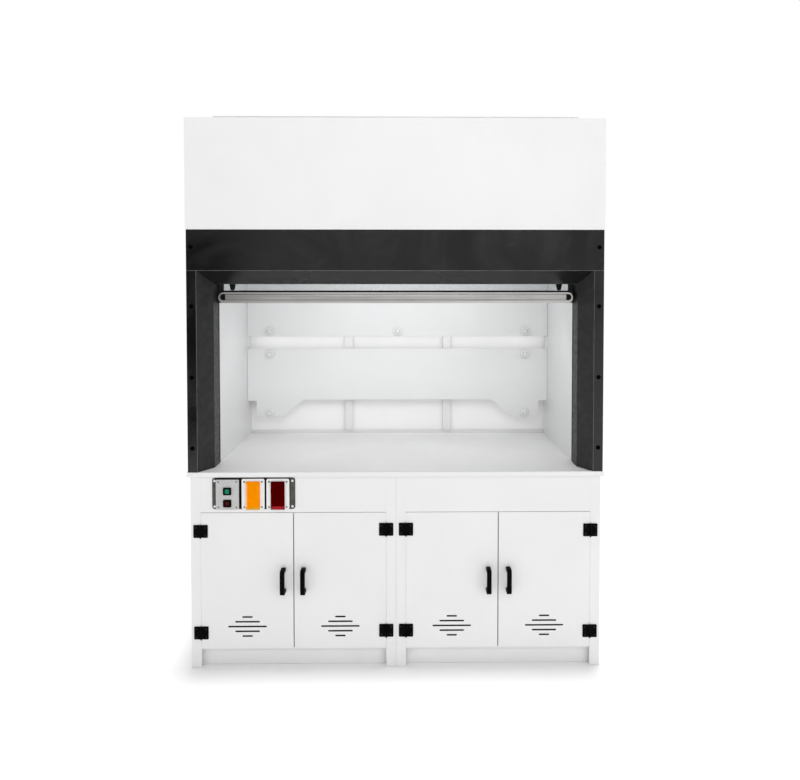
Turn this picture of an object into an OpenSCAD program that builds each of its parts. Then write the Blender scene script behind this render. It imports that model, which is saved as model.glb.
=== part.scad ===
// Walk-up laboratory fume hood on two base cabinets: plastic sheet enclosure, dark bevelled front
// frame, counterweighted vertical sash, baffled work chamber and a control panel in the left fascia.
// Millimetres. +X right, +Y back, +Z up. Origin on the floor, under the middle of the whole hood.

/* [Overall] */
// Width of the worktop
hood_w = 1800; // [1760:10:1900]
// Depth from the front frame's face to the back edge of the worktop
hood_d = 850; // [830:5:900]
// Height of the worktop's top face
worktop_z = 860; // [820:10:900]
// Top of the white header panel
header_z = 2376; // [2340:2:2400]
// Thickness of the plastic sheet
sheet = 12; // [10:1:14]
// Thickness of the inner lining sheet
lining = 8; // [6:1:10]

/* [Front frame] */
// Top edge of the dark frame
frame_top_z = 1902; // [1880:2:1920]
// Fold between the flat top and its bevel
fold_z = 1727; // [1700:1:1740]
// Underside of the frame's soffit, which is the top of the opening
soffit_z = 1670; // [1650:1:1680]
// Half width of the frame over its outer edges
frame_half_w = 894; // [890:1:896]
// Half width at the fold between the flat jamb and its bevel
fold_half_w = 852; // [846:1:856]
// Half width of the opening
opening_half_w = 801; // [798:1:804]
// How far back the bevel reaches
bevel_d = 83; // [70:1:90]
// How far back the straight reveal reaches
reveal_d = 163; // [150:1:164]
// Thickness of the folded metal
fold_t = 3; // [2:0.5:4]

/* [Chamber] */
// Half width of the work chamber
chamber_half_w = 805; // [804:1:810]
// Distance from the frame's face to the chamber's back wall
chamber_d = 826; // [800:1:830]
// Height of the chamber's ceiling
ceiling_z = 2060; // [2000:10:2080]
// Distance from the frame's face to the baffle
baffle_d = 736; // [700:1:750]
// Bottom edge of the upper baffle panel
upper_baffle_z = 1397; // [1380:1:1410]
// Top edge of the lower baffle panel
lower_baffle_z = 1331; // [1310:1:1340]
// Raised bottom edge of the lower baffle panel
baffle_arch_z = 1056; // [1040:1:1070]
// Bottom of the lower baffle's two tabs
baffle_tab_z = 964; // [950:1:970]

/* [Sash] */
// Height of the sash, handle included
sash_h = 837; // [830:1:840]
// How far the sash comes down
sash_travel = 724; // [700:1:724]
// Length of the sash handle
handle_len = 1578; // [1560:2:1584]
// Height of the sash handle
handle_h = 56; // [50:1:60]
// Pitch radius of the cable on its pulleys
pulley_r = 35; // [33:1:36]

/* [Base cabinets] */
// Half width over both cabinets
cabinet_half_w = 890; // [886:1:892]
// Setback of the cabinet fronts behind the frame's face
cabinet_set = 20; // [18:1:24]
// Width of a front stile
stile_w = 43; // [40:1:46]
// Top edge of the doors
door_top_z = 680; // [670:1:690]
// Bottom edge of the doors
door_bottom_z = 80; // [76:1:90]
// Middle height of a door handle
pull_z = 385; // [380:1:400]
// How far a door handle stands out
pull_reach = 46; // [42:1:48]

/* [Control panel] */
// Middle of the panel, left of the hood's middle
panel_x = -616; // [-620:1:-600]
// Middle height of the panel
panel_z = 764; // [762:1:768]
// Width of the panel
panel_w = 358; // [350:1:362]
// Height of the panel
panel_h = 137; // [134:1:140]

/* [Hidden] */
$fn = 48;

white = [0.91, 0.91, 0.90];
pale_grey = [0.74, 0.74, 0.74];
dark = [0.14, 0.14, 0.15];
metal = [0.66, 0.65, 0.63];
black = [0.05, 0.05, 0.05];

// The door handles stand out furthest, so they and the back edge set the middle of the depth
front_y = -(hood_d + cabinet_set - pull_reach) / 2;
gap = 0.3;
joint = 0.2;
worktop_t = 20;
cabinet_d = hood_d - 2;
shell_half_w = 897;
liner_front = reveal_d + 24;
cabinet_face = cabinet_set + sheet;

// Sash, raised: its handle hangs just below the soffit
sash_bottom_z = worktop_z + 2 + sash_travel;
sash_top_z = sash_bottom_z + sash_h;
sash_y = reveal_d + 5;
sash_t = 14;
glass_t = 6;
stile_in = 780;
stile_out = 822;
guide_in = opening_half_w + 2;
handle_front = 118;

// Lifting gear, in the cavity between the lining and the outer side panels
gear_x = 850;
cable_r = 2;
cable_y = sash_y + sash_t / 2;
front_shaft_y = cable_y + pulley_r;
rear_shaft_y = 715;
shaft_z = 2300;
shaft_r = 8;
weight_h = 530;
weight_w = 56;
weight_d = 100;
weight_z = 900;
bracket_z = sash_bottom_z + 10;

// Doors: hinge line, side the door lies on, swing
door_gap = 4;
hinge_gap = 0.5;
door_mid = cabinet_half_w / 2;
pin_x = cabinet_half_w - stile_w;
pin_y = cabinet_set - 5;
pin_r = 2;
knuckle_r = 4.7;
hinge_h = 56;
leaf_w = 31;
leaf_t = 3;
outer_hinges = [152.5, 598.5];
inner_hinges = [159.5, 604.5];
pull_h = 108;
pull_w = 20;
pull_off = 43.5;
vent_lengths = [45, 107, 168, 107, 45];
vent_pitch = 21;
vent_z = 179;

// Control panel layers, from the fascia outwards
plate_t = 3;
module_y = cabinet_set - plate_t;
module_h = 133;
module_z = panel_z - 2;
button_x = -729;
orange_x = -618;
red_x = -511;
socket_w = 99;
cover_w = 59;
cover_h = 122;
cover_t = 7;
cover_y = module_y - 4 - gap - cover_t / 2;
cover_pin_z = panel_z + 54 - cover_t / 2;
button_zs = [775, 722];
button_plate_z = 760;
button_plate_h = 130;

// Everything is drawn from the frame's front face (y = 0) and then set at its place
module placed() {
    translate([0, front_y, 0]) children();
}

// A box given by its low corner and its high corner
module block(low, high) {
    translate(low) cube([high[0] - low[0], high[1] - low[1], high[2] - low[2]]);
}

// The same shape on the right and, mirrored, on the left
module both_sides() {
    children();
    mirror([1, 0, 0]) children();
}

// A round bar along X
module bar_x(x0, x1, y, z, r) {
    translate([x0, y, z]) rotate([0, 90, 0]) cylinder(h = x1 - x0, r = r);
}

// A round bar along Y
module bar_y(x, y0, y1, z, r) {
    translate([x, y0, z]) rotate([-90, 0, 0]) cylinder(h = y1 - y0, r = r);
}

// A plate facing the front, with round corners
module rounded_plate(x, z, w, h, r, y0, y1) {
    translate([x, y1, z]) rotate([90, 0, 0]) linear_extrude(y1 - y0) rounded_outline(w, h, r);
}

module rounded_outline(w, h, r) {
    square([w, h - 2 * r], center = true);
    square([w - 2 * r, h], center = true);
    for (sx = [-1, 1], sz = [-1, 1]) translate([sx * (w / 2 - r), sz * (h / 2 - r)]) circle(r);
}

// ---- Base cabinets ----

module cabinet_sides() {
    color(white) placed() both_sides() {
        block([joint, cabinet_face, 0], [sheet, cabinet_d, worktop_z - worktop_t]);
        block([cabinet_half_w - sheet, cabinet_face, 0],
              [cabinet_half_w, cabinet_d, worktop_z - worktop_t]);
    }
}

module cabinet_floors_and_backs() {
    color(white) placed() both_sides() {
        block([sheet, cabinet_face + 4, door_bottom_z - sheet],
              [cabinet_half_w - sheet, cabinet_d - sheet - joint, door_bottom_z]);
        block([sheet, cabinet_d - sheet, 0],
              [cabinet_half_w - sheet, cabinet_d, worktop_z - worktop_t]);
    }
}

module cabinet_stiles() {
    color(white) placed() both_sides() {
        block([joint, cabinet_set, 0], [stile_w, cabinet_face, worktop_z - worktop_t]);
        block([pin_x, cabinet_set, 0], [cabinet_half_w, cabinet_face, worktop_z - worktop_t]);
    }
}

module cabinet_fascias() {
    color(white) placed() {
        block([stile_w, cabinet_set, door_top_z], [pin_x, cabinet_face, worktop_z - worktop_t]);
        difference() {
            block([-pin_x, cabinet_set, door_top_z], [-stile_w, cabinet_face, worktop_z - worktop_t]);
            block([panel_x - 160, cabinet_set - 1, panel_z - 60],
                  [panel_x + 160, cabinet_face + 1, panel_z + 55]);
        }
    }
}

toe_set = 46;

module toe_kicks() {
    color(white) placed() both_sides()
        block([sheet + joint, toe_set, 0],
              [cabinet_half_w - sheet - joint, toe_set + sheet, door_bottom_z - sheet - joint]);
}

// One magnetic catch over each pair of doors
module door_catches() {
    color(pale_grey) placed() both_sides() {
        block([door_mid - 30, cabinet_face, door_top_z],
              [door_mid + 30, cabinet_face + 26, door_top_z + 22]);
        block([door_mid - 30, cabinet_face + gap, door_top_z - 22],
              [door_mid + 30, cabinet_face + 26, door_top_z]);
    }
}

// ---- Worktop and enclosure ----

module worktop() {
    color(white) placed()
        block([-hood_w / 2, 0, worktop_z - worktop_t], [hood_w / 2, hood_d, worktop_z]);
}

module side_panels() {
    color(white) placed() both_sides()
        block([shell_half_w - sheet, sheet, worktop_z], [shell_half_w, chamber_d + sheet, header_z]);
}

module back_panel() {
    color(white) placed()
        block([-shell_half_w + sheet, chamber_d, worktop_z],
              [shell_half_w - sheet, chamber_d + sheet, header_z]);
}

module side_liners() {
    color(white) placed() both_sides()
        block([chamber_half_w, liner_front, worktop_z], [chamber_half_w + lining, chamber_d, ceiling_z]);
}

collar_y = 560;
collar_r = 125;
collar_t = 6;
lamp_half_w = 520;
lamp_y0 = 260;
lamp_y1 = 390;

module chamber_roof() {
    color(white) placed() difference() {
        block([-chamber_half_w - lining, liner_front, ceiling_z],
              [chamber_half_w + lining, chamber_d, ceiling_z + lining]);
        translate([0, collar_y, ceiling_z - 1]) cylinder(h = lining + 2, r = collar_r, $fn = 96);
        block([-lamp_half_w, lamp_y0, ceiling_z - 1], [lamp_half_w, lamp_y1, ceiling_z + lining + 1]);
    }
}

// Inner front wall over the opening, behind the raised sash
module sash_lintel() {
    color(white) placed()
        block([-chamber_half_w, liner_front, soffit_z + 8],
              [chamber_half_w, liner_front + lining, ceiling_z]);
}

// ---- Baffles ----

baffle_t = 6;
baffle_half_w = chamber_half_w - 1;
upper_baffle_fold = 1800;
upper_baffle_lip = [430, 2034];
tab_out = 757;
tab_in = 613;
arch_x = 507;
tab_round = 14;
cap_x = 683;

// Upright sheet folded forwards at the top, so that the exhaust draws from behind it
module upper_baffle() {
    color(white) placed()
        translate([-baffle_half_w, 0, 0]) rotate([90, 0, 90]) linear_extrude(2 * baffle_half_w)
            polygon([[baffle_d, upper_baffle_z], [baffle_d, upper_baffle_fold], upper_baffle_lip,
                     upper_baffle_lip + [baffle_t / 2, baffle_t],
                     [baffle_d + baffle_t, upper_baffle_fold + baffle_t],
                     [baffle_d + baffle_t, upper_baffle_z]]);
}

// Plain sheet with a wide arch between two tabs, which leaves the lower slot open
module lower_baffle() {
    color(white) placed()
        translate([0, baffle_d + baffle_t, 0]) rotate([90, 0, 0]) linear_extrude(baffle_t)
            difference() {
                translate([-baffle_half_w, baffle_tab_z])
                    square([2 * baffle_half_w, lower_baffle_z - baffle_tab_z]);
                polygon([[-arch_x, baffle_arch_z], [arch_x, baffle_arch_z],
                         [tab_in, baffle_tab_z - 1], [-tab_in, baffle_tab_z - 1]]);
                for (side = [-1, 1])
                    translate([side * (tab_out + baffle_half_w + 2) / 2, 0])
                        translate([-(baffle_half_w + 2 - tab_out) / 2, baffle_tab_z - 1])
                            square([baffle_half_w + 2 - tab_out, baffle_arch_z - baffle_tab_z - 5]);
            }
}

cap_places = [[-cap_x, 1424], [0, 1424], [cap_x, 1424], [-cap_x, 1302], [cap_x, 1302],
              [-cap_x - 1, 984], [cap_x - 1, 984]];

module baffle_standoffs() {
    color(pale_grey) placed()
        for (p = cap_places) bar_y(p[0], baffle_d + baffle_t, chamber_d, p[1], 14);
}

module baffle_caps() {
    color(white) placed() for (p = cap_places) {
        bar_y(p[0], baffle_d - 7, baffle_d, p[1], 25);
        bar_y(p[0], baffle_d - 14, baffle_d - 7, p[1], 12);
    }
}

batten_x = 267;
batten_w = 42;
batten_t = 20;

module back_battens() {
    color(pale_grey) placed() {
        for (side = [-1, 1])
            block([side * batten_x - batten_w / 2, chamber_d - batten_t, worktop_z + 18],
                  [side * batten_x + batten_w / 2, chamber_d, ceiling_z - 20]);
        block([-chamber_half_w, chamber_d - 8, worktop_z], [chamber_half_w, chamber_d, worktop_z + 16]);
    }
}

// ---- Exhaust and lamp ----

collar_top_z = 2440;

module exhaust_collar() {
    color(white) placed() translate([0, collar_y, 0]) difference() {
        union() {
            translate([0, 0, ceiling_z + lining])
                cylinder(h = collar_top_z - ceiling_z - lining, r = collar_r, $fn = 96);
            translate([0, 0, ceiling_z + lining]) cylinder(h = 8, r = collar_r + 25, $fn = 96);
        }
        translate([0, 0, ceiling_z]) cylinder(h = collar_top_z, r = collar_r - collar_t, $fn = 96);
    }
}

// Lamp box over its window in the ceiling, with the diffuser sheet set into the window
module lamp_housing() {
    base_z = ceiling_z + lining;
    color(pale_grey) placed() {
        difference() {
            block([-lamp_half_w - 15, lamp_y0 - 15, base_z],
                  [lamp_half_w + 15, lamp_y1 + 15, base_z + 70]);
            block([-lamp_half_w, lamp_y0, base_z - 1], [lamp_half_w, lamp_y1, base_z + 67]);
        }
        block([-lamp_half_w, lamp_y0, ceiling_z], [lamp_half_w, lamp_y1, ceiling_z + 4]);
    }
}

// ---- Front frame ----

module header_panel() {
    color(white) placed()
        block([-shell_half_w, 0, frame_top_z], [shell_half_w, sheet, header_z]);
}

// Folded top panel: flat face, bevel and soffit, mitred to the jambs
module frame_top() {
    color(dark) placed() intersection() {
        translate([-frame_half_w, 0, 0]) rotate([90, 0, 90]) linear_extrude(2 * frame_half_w)
            polygon([[0, frame_top_z], [0, fold_z], [bevel_d, soffit_z], [reveal_d, soffit_z],
                     [reveal_d, soffit_z + fold_t], [bevel_d + 1, soffit_z + fold_t],
                     [fold_t, fold_z + 2], [fold_t, frame_top_z]]);
        translate([0, reveal_d + 1, 0]) rotate([90, 0, 0]) linear_extrude(reveal_d + 2)
            polygon([[-frame_half_w, frame_top_z], [-frame_half_w, fold_z], [-fold_half_w, fold_z],
                     [-opening_half_w, soffit_z], [opening_half_w, soffit_z],
                     [fold_half_w, fold_z], [frame_half_w, fold_z], [frame_half_w, frame_top_z]]);
    }
}

// Folded jambs: return, flat face, bevel and reveal, standing on the worktop
module frame_jambs() {
    color(dark) placed() both_sides() intersection() {
        translate([0, 0, worktop_z]) linear_extrude(fold_z - worktop_z)
            polygon([[frame_half_w, sheet], [frame_half_w, 0], [fold_half_w, 0],
                     [opening_half_w, bevel_d], [opening_half_w, reveal_d],
                     [opening_half_w + fold_t, reveal_d], [opening_half_w + fold_t, bevel_d + 1],
                     [fold_half_w + 2, fold_t], [frame_half_w - fold_t, fold_t],
                     [frame_half_w - fold_t, sheet]]);
        translate([0, reveal_d + 1, 0]) rotate([90, 0, 0]) linear_extrude(reveal_d + 2)
            polygon([[frame_half_w, worktop_z], [frame_half_w, fold_z], [fold_half_w, fold_z],
                     [opening_half_w, soffit_z], [opening_half_w, worktop_z]]);
    }
}

screw_x = 873;
screw_zs = [964, 1269, 1574, 1827];

module frame_screws() {
    color(black) placed() both_sides() for (z = screw_zs) {
        bar_y(screw_x, -3, 0, z, 9.5);
    }
}

// Four strips: the sash runs between a front strip and a rear strip on each side
module sash_guides() {
    color(dark) placed() both_sides() {
        block([guide_in, reveal_d + gap, worktop_z], [830, sash_y - 1, shaft_z]);
        block([guide_in, sash_y + sash_t + 1, worktop_z], [830, liner_front - gap, shaft_z]);
    }
}

bumper_x = 729;
bumper_y = 132;

module sash_bumpers() {
    color(black) placed() both_sides()
        translate([bumper_x, bumper_y, sash_bottom_z + handle_h + gap])
            cylinder(h = soffit_z - sash_bottom_z - handle_h - gap, r1 = 10, r2 = 13.5);
}

// ---- Sash ----

glass_y = sash_y + (sash_t - glass_t) / 2;
groove = 12;
top_rail_h = 24;

module sash_glass() {
    color([0.8, 0.86, 0.88, 0.3]) placed()
        block([-stile_in - groove, glass_y, sash_bottom_z + handle_h - groove],
              [stile_in + groove, glass_y + glass_t, sash_top_z - groove]);
}

// Two upright stiles and the top rail between them, grooved for the glass
module sash_stiles() {
    color(dark) placed() difference() {
        union() {
            both_sides() block([stile_in, sash_y, sash_bottom_z], [stile_out, sash_y + sash_t, sash_top_z]);
            block([-stile_in + joint, sash_y, sash_top_z - top_rail_h],
                  [stile_in - joint, sash_y + sash_t, sash_top_z]);
        }
        block([-stile_in - groove, glass_y, sash_bottom_z + handle_h - groove],
              [stile_in + groove, glass_y + glass_t, sash_top_z - groove]);
    }
}

// Full-length rail with round ends, grooved on top for the glass and recessed in front for the bar
rail_wall = 8;
recess_d = 22;

module handle_outline(inset) {
    half = handle_len / 2 - handle_h / 2;
    hull_h = handle_h - 2 * inset;
    square([2 * half, hull_h], center = true);
    for (side = [-1, 1]) translate([side * half, 0]) circle(hull_h / 2, $fn = 64);
}

module handle_rail() {
    mid_z = sash_bottom_z + handle_h / 2;
    color(metal) placed() difference() {
        union() {
            translate([0, sash_y, mid_z]) rotate([90, 0, 0]) linear_extrude(sash_y - handle_front)
                handle_outline(0);
            block([-stile_in, sash_y, sash_bottom_z],
                  [stile_in, sash_y + sash_t, sash_bottom_z + handle_h]);
        }
        translate([0, handle_front + recess_d, mid_z]) rotate([90, 0, 0]) linear_extrude(recess_d + 1)
            handle_outline(rail_wall);
        block([-stile_in - 1, glass_y, sash_bottom_z + handle_h - groove],
              [stile_in + 1, glass_y + glass_t, sash_bottom_z + handle_h + 1]);
    }
}

// Brushed bar lying in the rail's recess, short of its dark ends
module handle_bar() {
    mid_z = sash_bottom_z + handle_h / 2;
    color(metal) placed()
        block([-759, handle_front + 2, mid_z - handle_h / 2 + rail_wall + 3],
              [759, handle_front + recess_d, mid_z + handle_h / 2 - rail_wall - 3]);
}

// Steel ears that reach out between the guide strips to the cables
module lift_brackets() {
    color(metal) placed() both_sides()
        block([stile_out, cable_y - 3, bracket_z], [gear_x + 8, cable_y + 3, bracket_z + 40]);
}

// ---- Lifting gear ----

pulley_w = 12;
bearing_in = 866;

module pulley_profile() {
    groove_r = pulley_r - cable_r - 0.6;
    polygon([[shaft_r, -pulley_w / 2], [pulley_r + 3, -pulley_w / 2], [pulley_r + 3, -cable_r - 0.6],
             [groove_r, -cable_r - 0.6], [groove_r, cable_r + 0.6], [pulley_r + 3, cable_r + 0.6],
             [pulley_r + 3, pulley_w / 2], [shaft_r, pulley_w / 2]]);
}

module shaft_with_pulleys(y) {
    bar_x(-shell_half_w + sheet + 2, shell_half_w - sheet - 2, y, shaft_z, shaft_r);
    both_sides() translate([gear_x, y, shaft_z]) rotate([0, 90, 0])
        rotate_extrude($fn = 72) pulley_profile();
}

module front_shaft() {
    color(metal) placed() shaft_with_pulleys(front_shaft_y);
}

module rear_shaft() {
    color(metal) placed() shaft_with_pulleys(rear_shaft_y);
}

// Bearing blocks on the outer side panels
module pulley_bearings() {
    color(pale_grey) placed() both_sides() for (y = [front_shaft_y, rear_shaft_y]) difference() {
        block([bearing_in, y - 25, shaft_z - 25], [shell_half_w - sheet, y + 25, shaft_z + 25]);
        bar_x(bearing_in - 1, shell_half_w - sheet + 1, y, shaft_z, shaft_r + 0.05);
    }
}

module quarter_wrap(y, turn) {
    translate([gear_x, y, shaft_z]) rotate([turn, 0, 0]) rotate([0, 90, 0])
        rotate_extrude(angle = 90, $fn = 72) translate([pulley_r, 0]) circle(cable_r, $fn = 16);
}

// Cable over the two pulleys; it slides along itself as the sash moves
module cable_top_runs() {
    color(metal) placed() both_sides() {
        translate([gear_x, front_shaft_y, shaft_z + pulley_r]) rotate([-90, 0, 0])
            cylinder(h = rear_shaft_y - front_shaft_y, r = cable_r, $fn = 16);
        quarter_wrap(front_shaft_y, 180);
        quarter_wrap(rear_shaft_y, 90);
    }
}

module cable_front_drops() {
    color(metal) placed() both_sides() translate([gear_x, cable_y, bracket_z + 40])
        cylinder(h = shaft_z - bracket_z - 40, r = cable_r, $fn = 16);
}

module cable_rear_drops() {
    color(metal) placed() both_sides() translate([gear_x, rear_shaft_y + pulley_r, weight_z + weight_h])
        cylinder(h = shaft_z - weight_z - weight_h, r = cable_r, $fn = 16);
}

module counterweights() {
    color(dark) placed() both_sides()
        block([gear_x - weight_w / 2, rear_shaft_y + pulley_r - weight_d / 2, weight_z],
              [gear_x + weight_w / 2, rear_shaft_y + pulley_r + weight_d / 2, weight_z + weight_h]);
}

// ---- Doors ----

// A door is drawn with its hinge line at x = 0 and its leaf towards +X, then put at its place.
// Doors 1 and 3 hang on their left edge, doors 2 and 4 on their right edge.
door_len = door_mid - stile_w - door_gap / 2;
door_lines = [-pin_x, -stile_w, stile_w, pin_x];
door_dirs = [1, -1, 1, -1];
door_hinges = [outer_hinges, inner_hinges, inner_hinges, outer_hinges];

module at_door(n) {
    placed() translate([door_lines[n - 1], 0, 0])
        mirror([door_dirs[n - 1] > 0 ? 0 : 1, 0, 0]) children();
}

module door(n) {
    color(white) at_door(n) difference() {
        block([hinge_gap, cabinet_set, door_bottom_z + 2], [door_len, cabinet_face, door_top_z - 2]);
        for (i = [0 : len(vent_lengths) - 1])
            rounded_plate(door_len / 2, vent_z + (i - 2) * vent_pitch, vent_lengths[i], 7, 3.4,
                          cabinet_set - 1, cabinet_face + 1);
    }
}

// Bow handle: a bar on two feet, its outer corners rounded
module door_pull(n) {
    color(black) at_door(n) {
        mid = door_mid - stile_w - pull_off;
        translate([mid - pull_w / 2, cabinet_set, pull_z]) rotate([90, 0, 90]) linear_extrude(pull_w)
            pull_outline();
    }
}

module pull_outline() {
    bar_t = 11;
    corner = 14;
    difference() {
        union() {
            translate([-pull_reach, -pull_h / 2 + corner]) square([pull_reach, pull_h - 2 * corner]);
            translate([-pull_reach + corner, -pull_h / 2]) square([pull_reach - corner, pull_h]);
            for (side = [-1, 1])
                translate([-pull_reach + corner, side * (pull_h / 2 - corner)]) circle(corner);
        }
        translate([-pull_reach + bar_t, -pull_h / 2 + 16]) square([pull_reach, pull_h - 32]);
    }
}

third = hinge_h / 3;

// One leaf at the hinge line: a plate on the face and its knuckles round the pin
module leaf(segments) {
    difference() {
        union() {
            block([knuckle_r + 1, cabinet_set - leaf_t, -hinge_h / 2], [leaf_w, cabinet_set, hinge_h / 2]);
            for (s = segments) {
                low = -hinge_h / 2 + s * third + (s > 0 ? 0.2 : 0);
                high = -hinge_h / 2 + (s + 1) * third - (s < 2 ? 0.2 : 0);
                translate([0, pin_y, low]) cylinder(h = high - low, r = knuckle_r);
                block([0, cabinet_set - leaf_t, low], [knuckle_r + 1, cabinet_set - gap, high]);
            }
        }
        translate([0, pin_y, -hinge_h]) cylinder(h = 2 * hinge_h, r = pin_r + 0.05);
    }
}

module door_leaves(n) {
    color(black) at_door(n) for (z = door_hinges[n - 1]) translate([0, 0, z]) leaf([1]);
}

module hinge_leaves_fixed() {
    color(black) for (n = [1 : 4]) at_door(n) for (z = door_hinges[n - 1])
        translate([0, 0, z]) mirror([1, 0, 0]) leaf([0, 2]);
}

module hinge_pins() {
    color(metal) for (n = [1 : 4]) at_door(n) for (z = door_hinges[n - 1])
        translate([0, pin_y, z - hinge_h / 2 - 3]) cylinder(h = hinge_h + 6, r = pin_r);
}

// ---- Control panel ----

module control_backplate() {
    color(dark) placed() difference() {
        rounded_plate(panel_x, panel_z, panel_w, panel_h, 12, module_y, cabinet_set);
        for (x = [button_x, orange_x, red_x])
            block([x - 38, module_y - 1, module_z - 56], [x + 38, cabinet_set + 1, module_z + 50]);
    }
}

// Grey plate that carries the two push buttons in square holes
module button_plate() {
    color(pale_grey) placed() difference() {
        rounded_plate(button_x, button_plate_z, 100, button_plate_h, 4, module_y - 4, module_y);
        for (z = button_zs)
            block([button_x - 10.6, module_y - 5, z - 10.6], [button_x + 10.6, module_y + 1, z + 10.6]);
    }
}

module socket_frames() {
    color(white) placed() for (x = [orange_x, red_x]) difference() {
        rounded_plate(x, module_z, socket_w, module_h, 8, module_y - 4, module_y);
        block([x - 27, module_y - 5, module_z - 45], [x + 27, module_y + 1, module_z + 45]);
    }
}

// Socket faces behind the covers, each with three pin slots
module socket_inserts() {
    color(pale_grey) placed() for (x = [orange_x, red_x]) difference() {
        block([x - 27, module_y - 1, module_z - 45], [x + 27, module_y + 12, module_z + 45]);
        for (p = [[0, 10], [-11, -8], [11, -8]])
            block([x + p[0] - 2, module_y - 2, module_z + p[1] - 5],
                  [x + p[0] + 2, module_y + 8, module_z + p[1] + 5]);
    }
}

// Enclosure for the switch gear behind the fascia, with a cable gland below
module wiring_box() {
    box_w = 330;
    color(pale_grey) placed() {
        difference() {
            block([panel_x - box_w / 2, cabinet_face, panel_z - 60],
                  [panel_x + box_w / 2, cabinet_face + 90, panel_z + 60]);
            block([panel_x - box_w / 2 + 3, cabinet_face - 1, panel_z - 57],
                  [panel_x + box_w / 2 - 3, cabinet_face + 87, panel_z + 57]);
        }
        translate([panel_x + 120, cabinet_face + 45, panel_z - 84]) difference() {
            cylinder(h = 24, r = 13);
            translate([0, 0, -1]) cylinder(h = 26, r = 6);
        }
    }
}

// Buttons stand in square guards and travel into them
module push_button(z) {
    placed() block([button_x - 10.4, module_y - 9, z - 10.4], [button_x + 10.4, module_y + 10, z + 10.4]);
}

module green_button() {
    color([0.12, 0.55, 0.36]) push_button(button_zs[0]);
}

module red_button() {
    color([0.35, 0.05, 0.07]) push_button(button_zs[1]);
}

// Hinged cover over a socket; it turns about the middle of its round top edge
module socket_cover(x) {
    placed() {
        block([x - cover_w / 2, cover_y - cover_t / 2, cover_pin_z + cover_t / 2 - cover_h],
              [x + cover_w / 2, cover_y + cover_t / 2, cover_pin_z]);
        bar_x(x - cover_w / 2, x + cover_w / 2, cover_y, cover_pin_z, cover_t / 2);
    }
}

module orange_cover() {
    color([0.95, 0.55, 0.05]) socket_cover(orange_x);
}

module red_cover() {
    color([0.36, 0.02, 0.05]) socket_cover(red_x);
}

cabinet_sides();
cabinet_floors_and_backs();
cabinet_stiles();
cabinet_fascias();
toe_kicks();
door_catches();
worktop();
side_panels();
back_panel();
side_liners();
chamber_roof();
sash_lintel();
upper_baffle();
lower_baffle();
baffle_standoffs();
baffle_caps();
back_battens();
exhaust_collar();
header_panel();
frame_top();
frame_jambs();
frame_screws();
sash_guides();
sash_bumpers();
pulley_bearings();
cable_top_runs();
hinge_leaves_fixed();
hinge_pins();
control_backplate();
button_plate();
socket_frames();
socket_inserts();
wiring_box();
lamp_housing();
sash_glass();
sash_stiles();
handle_rail();
handle_bar();
lift_brackets();
front_shaft();
rear_shaft();
counterweights();
cable_front_drops();
cable_rear_drops();
door(1);  // door_1
door(2);  // door_2
door(3);  // door_3
door(4);  // door_4
door_pull(1);  // door_pull_1
door_pull(2);  // door_pull_2
door_pull(3);  // door_pull_3
door_pull(4);  // door_pull_4
door_leaves(1);  // door_leaves_1
door_leaves(2);  // door_leaves_2
door_leaves(3);  // door_leaves_3
door_leaves(4);  // door_leaves_4
green_button();
red_button();
orange_cover();
red_cover();
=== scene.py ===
import math

import bmesh
import bpy
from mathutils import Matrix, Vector


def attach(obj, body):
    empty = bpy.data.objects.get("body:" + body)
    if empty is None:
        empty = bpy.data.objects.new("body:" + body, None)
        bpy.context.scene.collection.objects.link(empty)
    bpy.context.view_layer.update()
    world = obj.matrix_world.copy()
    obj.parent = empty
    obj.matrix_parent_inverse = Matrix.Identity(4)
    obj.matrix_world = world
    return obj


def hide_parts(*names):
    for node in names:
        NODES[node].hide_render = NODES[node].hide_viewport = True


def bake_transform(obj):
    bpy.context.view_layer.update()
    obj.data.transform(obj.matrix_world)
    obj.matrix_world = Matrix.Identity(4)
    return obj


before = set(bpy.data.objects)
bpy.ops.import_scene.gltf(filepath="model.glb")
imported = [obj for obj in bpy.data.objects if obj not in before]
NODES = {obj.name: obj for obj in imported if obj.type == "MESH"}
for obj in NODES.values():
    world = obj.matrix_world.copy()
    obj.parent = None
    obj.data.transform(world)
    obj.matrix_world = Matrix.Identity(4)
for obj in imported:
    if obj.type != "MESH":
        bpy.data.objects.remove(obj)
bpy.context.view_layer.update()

# Places are worked out in millimetres from the dark frame's front face, as the part's source does.
# FRONT is where that face lies in the row frame, in millimetres.
FRONT = -412.0
MM = 1000


def at(x, y, z):
    """A place given in millimetres from the frame's front face, in row metres."""
    return Vector((x, y + FRONT, z)) / MM


def linked(piece):
    """Put an object in the scene and hand it back."""
    bpy.context.scene.collection.objects.link(piece)
    return piece


# ---- Node trees for finishes ----


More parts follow.
